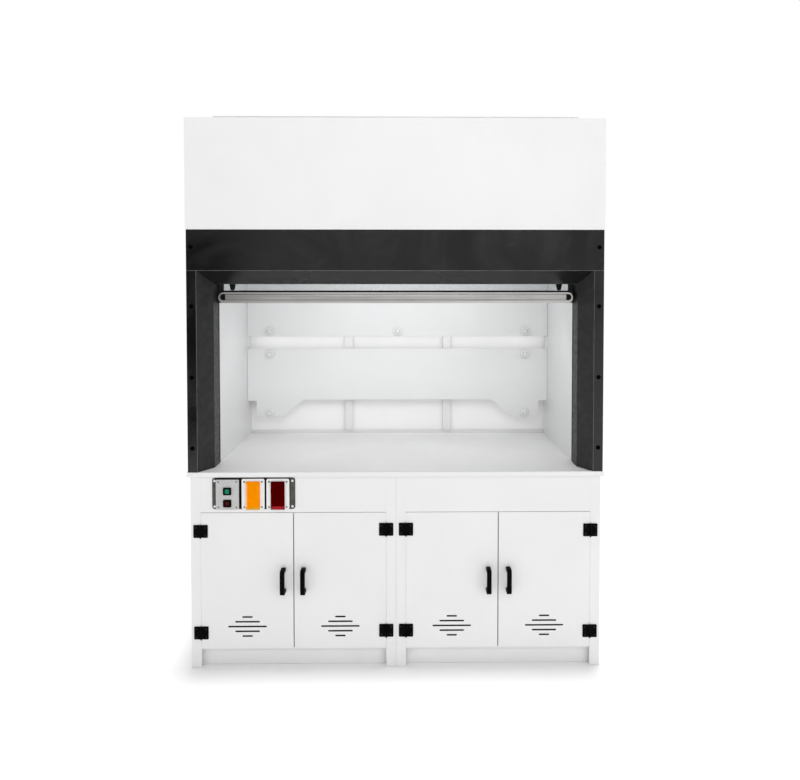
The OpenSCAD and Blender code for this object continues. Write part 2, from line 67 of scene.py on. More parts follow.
class Finish:
    """One procedural material: a Principled shader and the patterns that feed it."""

    def __init__(self, name, rough=0.4, specular=0.5, metal=0.0):
        self.material = bpy.data.materials.new(name)
        self.material.use_nodes = True
        self.tree = self.material.node_tree
        self.tree.nodes.clear()
        self.out = self.tree.nodes.new("ShaderNodeOutputMaterial")
        self.shader = self.tree.nodes.new("ShaderNodeBsdfPrincipled")
        self.shader.inputs["Roughness"].default_value = rough
        self.shader.inputs["Specular IOR Level"].default_value = specular
        self.shader.inputs["Metallic"].default_value = metal
        self.join(self.shader.outputs[0], self.out.inputs["Surface"])
        self.place = self.tree.nodes.new("ShaderNodeTexCoord").outputs["Object"]

    def join(self, a, b):
        self.tree.links.new(a, b)

    def stretched(self, scale):
        """Object coordinates scaled by axis, so that a pattern runs along one of them."""
        node = self.tree.nodes.new("ShaderNodeMapping")
        node.inputs["Scale"].default_value = scale
        self.join(self.place, node.inputs["Vector"])
        return node.outputs[0]

    def noise(self, scale, detail=3.0, rough=0.55, vector=None, warp=0.0):
        node = self.tree.nodes.new("ShaderNodeTexNoise")
        node.inputs["Scale"].default_value = scale
        node.inputs["Detail"].default_value = detail
        node.inputs["Roughness"].default_value = rough
        node.inputs["Distortion"].default_value = warp
        self.join(vector or self.place, node.inputs["Vector"])
        return node.outputs["Fac"]

    def band(self, value, low, high, to_low=0.0, to_high=1.0):
        """value mapped smoothly from low..high to to_low..to_high."""
        node = self.tree.nodes.new("ShaderNodeMapRange")
        node.interpolation_type = "SMOOTHSTEP"
        for key, number in (
            ("From Min", low),
            ("From Max", high),
            ("To Min", to_low),
            ("To Max", to_high),
        ):
            node.inputs[key].default_value = number
        self.join(value, node.inputs["Value"])
        return node.outputs["Result"]

    def sum(self, a, b):
        node = self.tree.nodes.new("ShaderNodeMath")
        node.operation = "ADD"
        self.join(a, node.inputs[0])
        self.join(b, node.inputs[1])
        return node.outputs[0]

    def blend(self, fac, a, b):
        """Colour a where fac is 0 and b where it is 1; either may be a socket."""
        node = self.tree.nodes.new("ShaderNodeMix")
        node.data_type = "RGBA"
        self.join(fac, node.inputs["Factor"])
        for key, value in (("A", a), ("B", b)):
            socket = [s for s in node.inputs if s.name == key and s.type == "RGBA"][0]
            if isinstance(value, tuple):
                socket.default_value = (*value, 1.0)
            else:
                self.join(value, socket)
        return [s for s in node.outputs if s.type == "RGBA"][0]

    def colour(self, socket):
        self.join(socket, self.shader.inputs["Base Color"])

    def roughness(self, socket):
        self.join(socket, self.shader.inputs["Roughness"])

    def relief(self, height, depth):
        """Bumps as deep as depth, in metres, where height runs from 0 to 1."""
        node = self.tree.nodes.new("ShaderNodeBump")
        node.inputs["Distance"].default_value = depth
        node.inputs["Strength"].default_value = 1.0
        self.join(height, node.inputs["Height"])
        self.join(node.outputs[0], self.shader.inputs["Normal"])


def grey(value, warm=0.0):
    """A grey of this linear value, tinted towards orange by warm."""
    return (value * (1 + warm), value, value * (1 - warm))


PEEL = 0.00006


def sheet_plastic(name, shade, rough, specular, swing=0.03, rub=0.12):
    """Extruded sheet: faint cloudy patches, a drawn grain, fine peel and a few light rubs."""
    f = Finish(name, rough, specular)
    clouds = f.noise(1.6, 4.0, 0.6, warp=0.4)
    grain = f.noise(1.0, 4.0, 0.6, f.stretched((160, 160, 5)))
    tone = f.sum(f.band(clouds, 0.3, 0.7), f.band(grain, 0.35, 0.65, 0.0, 0.12))
    shadow = tuple(c * (1 - swing) for c in shade)
    f.colour(f.blend(f.band(tone, 0.1, 1.05), shadow, shade))
    rubs = f.noise(1.0, 5.0, 0.7, f.stretched((9, 9, 3)), warp=1.2)
    f.roughness(f.band(rubs, 0.35, 0.75, rough - rub / 3, rough + rub))
    f.relief(f.sum(f.noise(420, 2.0), f.noise(36, 3.0)), PEEL)
    return f.material


def dark_sheet(name, shade, rubbed, rough, specular):
    """Dark folded sheet with dull handling marks and fine scratches."""
    f = Finish(name, rough, specular)
    clouds = f.noise(3.2, 5.0, 0.62, warp=0.8)
    scuffs = f.noise(1.0, 6.0, 0.72, f.stretched((5, 14, 26)), warp=1.5)
    lines = f.noise(1.0, 3.0, 0.5, f.stretched((14, 210, 210)))
    worn = f.sum(f.band(scuffs, 0.56, 0.78), f.band(lines, 0.66, 0.78, 0.0, 0.4))
    base = f.blend(f.band(clouds, 0.3, 0.7), tuple(c * 0.8 for c in shade), shade)
    f.colour(f.blend(worn, base, rubbed))
    f.roughness(f.band(clouds, 0.3, 0.75, rough - 0.08, rough + 0.14))
    f.relief(f.sum(f.noise(520, 2.0), f.noise(60, 4.0)), 0.00008)
    return f.material


def edge_line(name, shade, bright, specular=0.4):
    """Second tone along rounded edges, broken up by noise: a painted highlight where it is lighter
    than a dark part, darker than pale sheets.
    """
    f = Finish(name, 0.42, specular)
    edge_breakup = f.noise(1.0, 5.0, 0.7, f.stretched((18, 18, 18)), warp=0.6)
    f.colour(f.blend(f.band(edge_breakup, 0.3, 0.62), shade, bright))
    f.roughness(f.band(f.noise(90, 3.0), 0.3, 0.7, 0.34, 0.55))
    f.relief(f.noise(260, 3.0), 0.00005)
    return f.material


def moulded_plastic(name, shade, light, rough, specular, grain=0.0001):
    """Moulded part: spark-eroded grain with a slight bloom."""
    f = Finish(name, rough, specular)
    bloom = f.noise(26, 4.0, 0.6, warp=0.5)
    f.colour(f.blend(f.band(bloom, 0.35, 0.72), shade, light))
    f.roughness(f.band(f.noise(45, 4.0), 0.3, 0.7, rough - 0.07, rough + 0.1))
    f.relief(f.sum(f.noise(900, 2.0), f.noise(320, 3.0)), grain)
    return f.material


def brushed_metal(name, shade, light, along=(3, 420, 420), rough=0.34):
    """Metal brushed along one axis, with faint handling marks."""
    f = Finish(name, rough, 0.5, 1.0)
    brush = f.noise(1.0, 4.0, 0.65, f.stretched(along))
    haze = f.noise(7, 4.0, 0.6, warp=0.6)
    tone = f.sum(f.band(brush, 0.3, 0.7, 0.0, 0.75), f.band(haze, 0.35, 0.7, 0.0, 0.25))
    f.colour(f.blend(tone, shade, light))
    f.roughness(f.band(brush, 0.25, 0.75, rough - 0.08, rough + 0.14))
    f.relief(brush, 0.00004)
    return f.material


def sash_pane(name):
    """Clear safety glass: see-through, with a mirror-like film that grows at grazing angles."""
    f = Finish(name, 0.03, 0.5)
    tree = f.tree
    clear = tree.nodes.new("ShaderNodeBsdfTransparent")
    clear.inputs["Color"].default_value = (0.90, 0.912, 0.914, 1)
    dust = f.noise(55, 5.0, 0.7, warp=0.4)
    f.roughness(f.band(dust, 0.35, 0.75, 0.02, 0.12))
    f.colour(f.blend(f.band(dust, 0.4, 0.7), (0.72, 0.78, 0.79), (0.80, 0.85, 0.86)))
    gloss = tree.nodes.new("ShaderNodeFresnel")
    gloss.inputs["IOR"].default_value = 1.5
    film = f.sum(gloss.outputs[0], f.band(dust, 0.4, 0.8, 0.03, 0.06))
    mix = tree.nodes.new("ShaderNodeMixShader")
    f.join(film, mix.inputs["Fac"])
    f.join(clear.outputs[0], mix.inputs[1])
    f.join(f.shader.outputs[0], mix.inputs[2])
    f.join(mix.outputs[0], f.out.inputs["Surface"])
    return f.material


def glowing_sheet(name, strength):
    """Opal diffuser lit from behind."""
    f = Finish(name, 0.5, 0.4)
    mottle = f.noise(60, 3.0)
    tone = f.blend(f.band(mottle, 0.3, 0.7), (0.88, 0.89, 0.88), (0.94, 0.94, 0.93))
    f.colour(tone)
    f.join(tone, f.shader.inputs["Emission Color"])
    f.shader.inputs["Emission Strength"].default_value = strength
    f.relief(f.noise(240, 2.0), 0.00008)
    return f.material


WHITE = sheet_plastic("White polypropylene sheet", grey(0.80), 0.42, 0.4)
WHITE_EDGE = edge_line("White sheet edge", grey(0.70), grey(0.80))
LINING = sheet_plastic("Chamber lining sheet", (0.78, 0.783, 0.787), 0.3, 0.45, 0.02, 0.02)
# The lining sheet made darker for the side liners: painted shade on the chamber's side walls
LINING_SHADED = sheet_plastic("Side liner sheet painted shade", (0.725, 0.728, 0.732), 0.32, 0.4, 0.02, 0.02)
LINING_EDGE = edge_line("Lining edge", grey(0.52), grey(0.66))
PALE_GREY = sheet_plastic("Pale grey polypropylene", grey(0.66), 0.45, 0.4)
DARK = dark_sheet("Dark frame sheet", grey(0.0065), grey(0.017), 0.2, 0.42)
# The dark sheet made lighter for the jambs' bevels and reveals: painted light on the faces turned
# sideways
DARK_SIDES_LIT = moulded_plastic("Dark frame sides painted light", grey(0.014), grey(0.024), 0.45, 0.3)
# Lighter than the frame sheet: painted highlight along the frame's folds
DARK_EDGE_HIGHLIGHT = edge_line("Frame fold edge painted highlight", grey(0.05), grey(0.14), 0.5)
DARK_STILE = moulded_plastic("Dark sash profile", grey(0.026), grey(0.036), 0.4, 0.3)
BLACK = moulded_plastic("Black hardware", grey(0.0012), grey(0.003), 0.52, 0.03)
# Lighter than black hardware: painted highlight on its edges; darker round the control plate, as
# painted shade
BLACK_EDGE_LIGHT_AND_SHADE = edge_line("Near black edge painted highlight and shade", grey(0.0025), grey(0.008), 0.06)
BLACK_CAP = moulded_plastic("Black frame screws", grey(0.0008), grey(0.002), 0.6, 0.02)
BLACK_SCREW = moulded_plastic("Black screw heads", grey(0.006), grey(0.016), 0.35, 0.15)
# Near black for the walls of the door vent slots: painted shade inside the slots
VENT_SHADE = moulded_plastic("Vent slot walls painted shade", grey(0.012), grey(0.02), 0.8, 0.05)
RUBBER = moulded_plastic("Black rubber", grey(0.004), grey(0.008), 0.7, 0.08, 0.0002)
BRUSHED = brushed_metal("Brushed handle bar", grey(0.33, 0.02), grey(0.50, 0.025))
RAIL = brushed_metal("Brushed handle channel", grey(0.42, 0.012), grey(0.56, 0.012))
SASH_TOP = moulded_plastic("Bare sash top", grey(0.84), grey(0.9), 0.45, 0.3)
STEEL = brushed_metal("Bright steel", grey(0.42), grey(0.62), (160, 160, 160), 0.3)
CAST = moulded_plastic("Cast iron weight", grey(0.03), grey(0.075), 0.62, 0.4, 0.0006)
BEARING = moulded_plastic("Bearing plastic", grey(0.5), grey(0.58), 0.42, 0.4)
PLATE_DARK = moulded_plastic(
    "Control plate grey", (0.06, 0.062, 0.052), (0.092, 0.096, 0.08), 0.5, 0.2
)
PLATE_LIGHT = moulded_plastic("Button plate grey", grey(0.47), grey(0.53), 0.46, 0.4)
SCREW_GREY = moulded_plastic("Grey plate screws", grey(0.16), grey(0.3), 0.4, 0.4)
SCREW_WHITE = moulded_plastic("White screw caps", grey(0.78), grey(0.86), 0.4, 0.4)
SOCKET = moulded_plastic("White socket frame", (0.78, 0.775, 0.76), grey(0.84), 0.36, 0.45)
BUTTON_GREEN = moulded_plastic(
    "Green button", (0.0, 0.17, 0.08), (0.008, 0.30, 0.16), 0.4, 0.15
)
BUTTON_RED = moulded_plastic("Red button", (0.04, 0.001, 0.003), (0.08, 0.002, 0.005), 0.4, 0.08)
ORANGE = moulded_plastic("Orange cover", (0.84, 0.24, 0.0), (0.92, 0.275, 0.0), 0.6, 0.0)
ORANGE_LIGHT = moulded_plastic(
    "Orange cover rim", (0.90, 0.42, 0.16), (0.95, 0.5, 0.24), 0.45, 0.2
)
YELLOW = moulded_plastic("Orange cover strip", (0.50, 0.28, 0.0), (0.66, 0.37, 0.0), 0.5, 0.08)
DARK_RED = moulded_plastic("Dark red cover", (0.058, 0.0, 0.0), (0.076, 0.0, 0.0), 0.6, 0.0)
RED = moulded_plastic("Dark red cover strip", (0.26, 0.004, 0.01), (0.36, 0.01, 0.018), 0.5, 0.1)
GLASS = sash_pane("Sash glass")
DIFFUSER = glowing_sheet("Lamp diffuser", 1.0)


# ---- Meshes ----

# Turns between two faces, in degrees. Below FLAT_TURN they are one flat, up to CURVE_TURN they are
# part of a curve, above HARD_TURN they meet in a hard edge and above CORNER_TURN in a square one
FLAT_TURN = 0.5
CURVE_TURN = 25.0
HARD_TURN = 28
CORNER_TURN = 80


def shade_rounds(bm, high=CURVE_TURN):
    """Smooth the faces that are part of a curve; flat sheets stay flat."""
    for face in bm.faces:
        turns = [
            math.degrees(e.calc_face_angle(0.0)) for e in face.edges if len(e.link_faces) == 2
        ]
        face.smooth = any(FLAT_TURN < t < high for t in turns)


def soften(bm, width, steps, material):
    """Round every hard edge by width, in metres, as a saw or a mould leaves it."""
    hard = [
        e
        for e in bm.edges
        if len(e.link_faces) == 2 and e.calc_face_angle(0.0) > math.radians(HARD_TURN)
    ]
    if not hard:
        return
    made = bmesh.ops.bevel(
        bm,
        geom=hard,
        offset=width,
        offset_type="OFFSET",
        segments=steps,
        profile=0.5,
        affect="EDGES",
        clamp_overlap=True,
        material=material,
    )
    for face in made["faces"]:
        face.smooth = True


def placed(name, mesh, body, nodes):
    """A mesh as a piece that rides on a body and may stand for CAD nodes."""
    piece = linked(bpy.data.objects.new(name, mesh))
    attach(piece, body)
    if nodes:
        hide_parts(*nodes)


def settle(bm, name, materials, body, nodes=()):
    """Turn a bmesh into a placed piece with these materials."""
    mesh = bpy.data.meshes.new(name)
    bmesh.ops.recalc_face_normals(bm, faces=bm.faces)
    bm.to_mesh(mesh)
    bm.free()
    for material in materials:
        mesh.materials.append(material)
    placed(name, mesh, body, nodes)


def copy_of(node):
    """A merged copy of a CAD node's mesh, its flats whole again."""
    bm = bmesh.new()
    bm.from_mesh(NODES[node].data)
    bmesh.ops.remove_doubles(bm, verts=bm.verts, dist=1e-5)
    bmesh.ops.dissolve_limit(
        bm, angle_limit=math.radians(0.4), verts=bm.verts, edges=bm.edges
    )
    return bm


def finished(
    node,
    material,
    edge=None,
    width=0.8,
    steps=2,
    body="hood",
    other=None,
    where=None,
    level=None,
):
    """The CAD node's own shape with edges rounded by width millimetres, standing for the node.

    where(face) picks the faces that take the other material. A level, in metres, is a height at
    which the faces are split first.
    """
    bm = copy_of(node)
    if level:
        whole = bm.verts[:] + bm.edges[:] + bm.faces[:]
        bmesh.ops.bisect_plane(bm, geom=whole, plane_co=(0, 0, level), plane_no=(0, 0, 1))
    shade_rounds(bm)
    soften(bm, width / MM, steps, 1 if edge else 0)
    materials = [material, edge or material]
    if other:
        materials.append(other)
        for face in bm.faces:
            if where(face):
                face.material_index = 2
    settle(bm, node + "_finished", materials, body, [node])


def round_corners(bm, radius, pick):
    """Round the edges that run from front to back wherever pick(middle of the edge) is true."""
    corners = []
    for e in bm.edges:
        a, b = (v.co for v in e.verts)
        straight = abs((a - b).normalized().y) > 0.99
        sharp = e.calc_face_angle(0.0) > math.radians(CORNER_TURN)
        if straight and sharp and pick((a + b) / 2):
            corners.append(e)
    bmesh.ops.bevel(
        bm,
        geom=corners,
        offset=radius,
        offset_type="OFFSET",
        segments=4,
        profile=0.5,
        affect="EDGES",
    )


def add_box(bm, low, high, material=0):
    """A closed box between two corners given in millimetres."""
    a, b = at(*low), at(*high)
    made = bmesh.ops.create_cube(bm, size=1.0)
    for v in made["verts"]:
        v.co = Vector(
            (
                a.x if v.co.x < 0 else b.x,
                a.y if v.co.y < 0 else b.y,
                a.z if v.co.z < 0 else b.z,
            )
        )
    for face in {f for v in made["verts"] for f in v.link_faces}:
        face.material_index = material


def outline_points(x, z, w, h, r, steps=8):
    """A rectangle with round corners in the XZ plane, anticlockwise from the front."""
    points = []
    for i, (sx, sz) in enumerate(((1, 1), (-1, 1), (-1, -1), (1, -1))):
        for k in range(steps + 1):
            a = math.radians(90 * i + 90 * k / steps)
            points.append(
                (
                    x + sx * (w / 2 - r) + r * math.cos(a),
                    z + sz * (h / 2 - r) + r * math.sin(a),
                )
            )
    return points


def add_plate(bm, points, y_front, y_back):
    """A flat plate with this outline, from y_front back to y_back."""
    front = [bm.verts.new(at(px, y_front, pz)) for px, pz in points]
    back = [bm.verts.new(at(px, y_back, pz)) for px, pz in points]
    bm.faces.new(front)
    bm.faces.new(list(reversed(back)))
    n = len(points)
    for i in range(n):
        j = (i + 1) % n
        bm.faces.new((front[i], back[i], back[j], front[j]))


def add_ring(bm, outer, inner, y_front, y_back):
    """A plate with a hole; both outlines have the same number of points."""
    loops = []
    for points in (outer, inner):
        for y in (y_front, y_back):
            loops.append([bm.verts.new(at(px, y, pz)) for px, pz in points])
    n = len(outer)
    of, ob, inf, inb = loops
    for i in range(n):
        j = (i + 1) % n
        for quad in (
            (of[i], of[j], inf[j], inf[i]),
            (ob[j], ob[i], inb[i], inb[j]),
            (of[j], of[i], ob[i], ob[j]),
            (inf[i], inf[j], inb[j], inb[i]),
        ):
            bm.faces.new(quad)


def add_tray(bm, outer, inner, y_front, y_floor, y_back):
    """A solid plate with a pocket in its front; both outlines have the same number of points."""
    loops = []
    for points, y in ((outer, y_back), (outer, y_front), (inner, y_front), (inner, y_floor)):
        loops.append([bm.verts.new(at(px, y, pz)) for px, pz in points])
    n = len(outer)
    for a, b in zip(loops, loops[1:]):
        for i in range(n):
            j = (i + 1) % n
            bm.faces.new((a[i], a[j], b[j], b[i]))
    bm.faces.new(loops[0])
    bm.faces.new(loops[-1])


def add_bar(bm, section, x0, x1):
    """A bar along X with this section of (y, z) points."""
    ends = [[bm.verts.new(at(x, y, z)) for y, z in section] for x in (x0, x1)]
    n = len(section)
    bm.faces.new(ends[0])
    bm.faces.new(ends[1])
    for i in range(n):
        j = (i + 1) % n
        bm.faces.new((ends[0][i], ends[0][j], ends[1][j], ends[1][i]))


def add_turned(bm, centre, profile, axis="Y", steps=32):
    """A turned shape: profile is (distance along the axis, radius) pairs, in millimetres."""
    rings = []
    for along, radius in profile:
        ring = []
        for k in range(steps):
            a = 2 * math.pi * k / steps
            u, v = radius * math.cos(a), radius * math.sin(a)
            x, y, z = centre
            place = {
                "X": (x + along, y + u, z + v),
                "Y": (x + u, y + along, z + v),
                "Z": (x + u, y + v, z + along),
            }[axis]
            ring.append(bm.verts.new(at(*place)))
        rings.append(ring)
    for a, b in zip(rings, rings[1:]):
        for k in range(steps):
            j = (k + 1) % steps
            bm.faces.new((a[k], a[j], b[j], b[k])).smooth = True
    for ring in (rings[0], rings[-1]):
        bm.faces.new(ring)


# ---- Geometry Nodes: screw heads and wire ropes ----


def new_tree(name, sockets):
    """A Geometry Nodes tree with its named inputs and one geometry output."""
    tree = bpy.data.node_groups.new(name, "GeometryNodeTree")
    tree.interface.new_socket("Geometry", in_out="INPUT", socket_type="NodeSocketGeometry")
    for title, kind in sockets:
        tree.interface.new_socket(title, in_out="INPUT", socket_type=kind)
    tree.interface.new_socket("Geometry", in_out="OUTPUT", socket_type="NodeSocketGeometry")
    return tree


def screw_tree():
    """Puts one screw head on every point, each turned by its own amount about its axis."""
    tree = new_tree(
        "Screw heads",
        [
            ("Head Pattern", "NodeSocketObject"),
            ("Head Radius", "NodeSocketFloat"),
            ("Turn Seed", "NodeSocketInt"),
            ("Finish", "NodeSocketMaterial"),
        ],
    )
    add, link = tree.nodes.new, tree.links.new
    given = add("NodeGroupInput")
    info = add("GeometryNodeObjectInfo")
    turn = add("FunctionNodeRandomValue")
    turn.data_type = "FLOAT"
    turn.inputs["Max"].default_value = math.pi / 2
    along = add("ShaderNodeCombineXYZ")
    put = add("GeometryNodeInstanceOnPoints")
    real = add("GeometryNodeRealizeInstances")
    paint = add("GeometryNodeSetMaterial")
    done = add("NodeGroupOutput")
    link(given.outputs["Head Pattern"], info.inputs["Object"])
    link(given.outputs["Turn Seed"], turn.inputs["Seed"])
    value = [s for s in turn.outputs if s.enabled and s.type == "VALUE"][0]
    link(value, along.inputs["Y"])
    link(given.outputs["Geometry"], put.inputs["Points"])
    link(info.outputs["Geometry"], put.inputs["Instance"])
    link(along.outputs[0], put.inputs["Rotation"])
    link(given.outputs["Head Radius"], put.inputs["Scale"])
    link(put.outputs[0], real.inputs[0])
    link(real.outputs[0], paint.inputs["Geometry"])
    link(given.outputs["Finish"], paint.inputs["Material"])
    link(paint.outputs[0], done.inputs[0])
    return tree


# Radius of the hollows between the strands, as a share of the rope's own radius
STRAND_HOLLOW = 0.74


def rope_tree():
    """A twisted wire rope along a path: a lobed section that turns once in each lay length."""
    tree = new_tree(
        "Wire rope",
        [
            ("Rope Radius", "NodeSocketFloat"),
            ("Lay Length", "NodeSocketFloat"),
            ("Strand Count", "NodeSocketInt"),
            ("Step Length", "NodeSocketFloat"),
            ("Finish", "NodeSocketMaterial"),
        ],
    )
    add, link = tree.nodes.new, tree.links.new
    given = add("NodeGroupInput")
    path = add("GeometryNodeMeshToCurve")
    even = add("GeometryNodeResampleCurve")
    even.mode = "LENGTH"
    length = add("GeometryNodeSplineParameter")
    turns = add("ShaderNodeMath")
    turns.operation = "DIVIDE"
    angle = add("ShaderNodeMath")
    angle.operation = "MULTIPLY"
    angle.inputs[1].default_value = 2 * math.pi
    twist = add("GeometryNodeSetCurveTilt")
    core = add("ShaderNodeMath")
    core.operation = "MULTIPLY"
    core.inputs[1].default_value = STRAND_HOLLOW
    section = add("GeometryNodeCurveStar")
    section.inputs["Twist"].default_value = 0.0
    sweep = add("GeometryNodeCurveToMesh")
    sweep.inputs["Fill Caps"].default_value = True
    real = add("GeometryNodeRealizeInstances")
    paint = add("GeometryNodeSetMaterial")
    done = add("NodeGroupOutput")
    link(given.outputs["Geometry"], path.inputs["Mesh"])
    link(path.outputs[0], even.inputs["Curve"])
    link(given.outputs["Step Length"], even.inputs["Length"])
    link(length.outputs["Length"], turns.inputs[0])
    link(given.outputs["Lay Length"], turns.inputs[1])
    link(turns.outputs[0], angle.inputs[0])
    link(even.outputs[0], twist.inputs["Curve"])
    link(angle.outputs[0], twist.inputs["Tilt"])
    link(given.outputs["Strand Count"], section.inputs["Points"])
    link(given.outputs["Rope Radius"], section.inputs["Outer Radius"])
    link(given.outputs["Rope Radius"], core.inputs[0])
    link(core.outputs[0], section.inputs["Inner Radius"])
    link(twist.outputs[0], sweep.inputs["Curve"])
    link(section.outputs["Curve"], sweep.inputs["Profile Curve"])
    link(sweep.outputs[0], real.inputs[0])
    link(real.outputs[0], paint.inputs["Geometry"])
    link(given.outputs["Finish"], paint.inputs["Material"])
    link(paint.outputs[0], done.inputs[0])
    return tree


def grown(tree, name, verts, edges, values):
    """Run a tree on a small seed mesh and return the plain, smooth mesh it makes."""
    seed = bpy.data.meshes.new(name + "_seed")
    seed.from_pydata(verts, edges, [])
    holder = linked(bpy.data.objects.new(name + "_seed", seed))
    modifier = holder.modifiers.new(name, "NODES")
    modifier.node_group = tree
    for item in tree.interface.items_tree:
        if item.item_type == "SOCKET" and item.in_out == "INPUT" and item.name in values:
            modifier[item.identifier] = values[item.name]
    graph = bpy.context.evaluated_depsgraph_get()
    mesh = bpy.data.meshes.new_from_object(
        holder.evaluated_get(graph), preserve_all_data_layers=False, depsgraph=graph
    )
    mesh.name = name
    holder.modifiers.clear()
    bpy.data.objects.remove(holder)
    if not mesh.materials:
        mesh.materials.append(values["Finish"])
    for poly in mesh.polygons:
        poly.use_smooth = True
    return mesh


# Screw heads have a radius of 1 here. DOMED is their turned outline, from the underside outwards.
# The recess is a hexagon, or a cross of two arms given by half their sizes along X and Z
DOMED = [(0.0, 1.0), (-0.16, 0.99), (-0.34, 0.86), (-0.46, 0.62), (-0.52, 0.3), (-0.53, 0.02)]
CROSS_ARMS = ((0.62, 0.12), (0.12, 0.62))
CROSS_FLOOR = 0.16
HEX_RADIUS = 0.46
HEX_FLOOR = 0.15
CUTTER_TOP = 2


def head_pattern(name, cutter):
    """A domed screw head of unit radius facing -Y; cutter is 'cross' or 'hex'."""
    bm = bmesh.new()
    add_turned(bm, (0, -FRONT, 0), [(y * MM, r * MM) for y, r in DOMED], steps=24)
    bmesh.ops.recalc_face_normals(bm, faces=bm.faces)
    mesh = bpy.data.meshes.new(name)
    bm.to_mesh(mesh)
    bm.free()
    head = bpy.data.objects.new(name, mesh)
    cut_mesh = bpy.data.meshes.new(name + "_cut")
    bm = bmesh.new()
    if cutter == "hex":
        ends = [(-y * MM, HEX_RADIUS * MM) for y in (CUTTER_TOP, HEX_FLOOR)]
        add_turned(bm, (0, -FRONT, 0), ends, steps=6)
    else:
        for x, z in CROSS_ARMS:
            low = (-x * MM, -CUTTER_TOP * MM - FRONT, -z * MM)
            add_box(bm, low, (x * MM, -CROSS_FLOOR * MM - FRONT, z * MM))
    bmesh.ops.recalc_face_normals(bm, faces=bm.faces)
    bm.to_mesh(cut_mesh)
    bm.free()
    blade = bpy.data.objects.new(name + "_cut", cut_mesh)
    linked(head)
    linked(blade)
    cut = head.modifiers.new("cut", "BOOLEAN")
    cut.operation = "DIFFERENCE"
    cut.object = blade
    cut.solver = "EXACT"
    cut.use_self = cutter == "cross"
    graph = bpy.context.evaluated_depsgraph_get()
    head_mesh = bpy.data.meshes.new_from_object(head.evaluated_get(graph))
    head.modifiers.clear()
    head.data = head_mesh
    bpy.data.objects.remove(blade)
    return head


SCREWS = screw_tree()
ROPE = rope_tree()
CROSS_HEAD = head_pattern("cross_head", "cross")
HEX_HEAD = head_pattern("hex_head", "hex")
SCREW_EDGE = 40


def screws(name, places, radius, finish, body, pattern=CROSS_HEAD, seed=7, nodes=()):
    """Screw heads whose undersides sit at these places, facing the front."""
    mesh = grown(
        SCREWS,
        name,
        [at(*p) for p in places],
        [],
        {
            "Head Pattern": pattern,
            "Head Radius": radius / MM,
            "Turn Seed": seed,
            "Finish": finish,
        },
    )
    mesh.set_sharp_from_angle(angle=math.radians(SCREW_EDGE))
    placed(name, mesh, body, nodes)


# ---- Base cabinets ----

# The cabinets' front face, in millimetres behind the frame's
CABINET_SET = 20
# Height of the vent slots' middle, and how far from a door's hinge line that middle lies
VENT_Z = 179
VENT_FROM_HINGE = 201
# Doors 1 to 4 from the left: hinge line, side of the line the door is on, and hinge heights
DOORS = (1, 2, 3, 4)
HINGE_LINES = (-847, -43, 43, 847)
DOOR_TURNS = (1, -1, 1, -1)
HINGE_HEIGHTS = ((152.5, 598.5), (159.5, 604.5), (159.5, 604.5), (152.5, 598.5))


def in_vent(face):
    """True on the walls of the vent slots, inside the door's thickness, which are painted dark as
    shade.
    """
    c = face.calc_center_median()
    return abs(face.normal.y) < 0.5 and abs(c.z - VENT_Z / MM) < 0.06


def in_vent_of(line, turn):
    """in_vent for one door, its outer edges left out."""
    middle = (line + turn * VENT_FROM_HINGE) / MM
    return lambda f: in_vent(f) and abs(f.calc_center_median().x - middle) < 0.1


for node in ("cabinet_sides", "cabinet_floors_and_backs", "cabinet_stiles", "toe_kicks"):
    finished(node, WHITE, WHITE_EDGE, 0.4)
finished("cabinet_fascias", WHITE, WHITE_EDGE, 0.5)
finished("worktop", WHITE, WHITE_EDGE, 1.6, 3)
finished("door_catches", PALE_GREY, None, 0.8)
# Each door's vent slot walls take the painted shade
for n, line, turn in zip(DOORS, HINGE_LINES, DOOR_TURNS):
    finished(
        f"door_{n}",
        WHITE,
        WHITE_EDGE,
        0.5,
        2,
        f"door_{n}",
        VENT_SHADE,
        in_vent_of(line, turn),
    )

# ---- Enclosure and chamber ----

# Faces of the lamp box below this height, in metres, are its diffuser
DIFFUSER_TOP = 2.066
for node in ("side_panels", "back_panel"):
    finished(node, WHITE, WHITE_EDGE, 0.8)
finished("header_panel", WHITE, WHITE_EDGE, 1.0)
finished("exhaust_collar", WHITE, WHITE_EDGE, 1.0)
finished("side_liners", LINING_SHADED, LINING_EDGE, 0.6)
for node in ("chamber_roof", "sash_lintel", "upper_baffle", "lower_baffle"):
    finished(node, LINING, LINING_EDGE, 0.6)
finished("baffle_caps", LINING, LINING_EDGE, 2.2, 3)
finished("baffle_standoffs", PALE_GREY, None, 0.5)
finished("back_battens", PALE_GREY, None, 1.2)
finished(
    "lamp_housing",
    PALE_GREY,
    None,
    1.0,
    2,
    other=DIFFUSER,
    where=lambda f: f.calc_center_median().z < DIFFUSER_TOP,
)

# ---- Dark frame and guides ----

# The jambs' bevels and reveals lie within this half width, in metres, and their outer returns don't
JAMB_FOLD = 0.85
FRAME_SCREW_X = 873
FRAME_SCREW_ZS = (964, 1269, 1574, 1827)
finished("frame_top", DARK, DARK_EDGE_HIGHLIGHT, 1.5, 2)
# Bevels and reveals of the jambs, the same sheet as their flats, take the lighter copy: painted
# light
finished(
    "frame_jambs",
    DARK,
    DARK_EDGE_HIGHLIGHT,
    1.5,
    2,
    other=DARK_SIDES_LIT,
    where=lambda f: abs(f.normal.x) > 0.2 and abs(f.calc_center_median().x) < JAMB_FOLD,
)
finished("sash_guides", DARK_STILE, None, 0.6)
screws(
    "frame_screw_heads",
    [(s * FRAME_SCREW_X, 0, z) for s in (-1, 1) for z in FRAME_SCREW_ZS],
    9.5,
    BLACK_CAP,
    "hood",
    HEX_HEAD,
    3,
    ["frame_screws"],
)

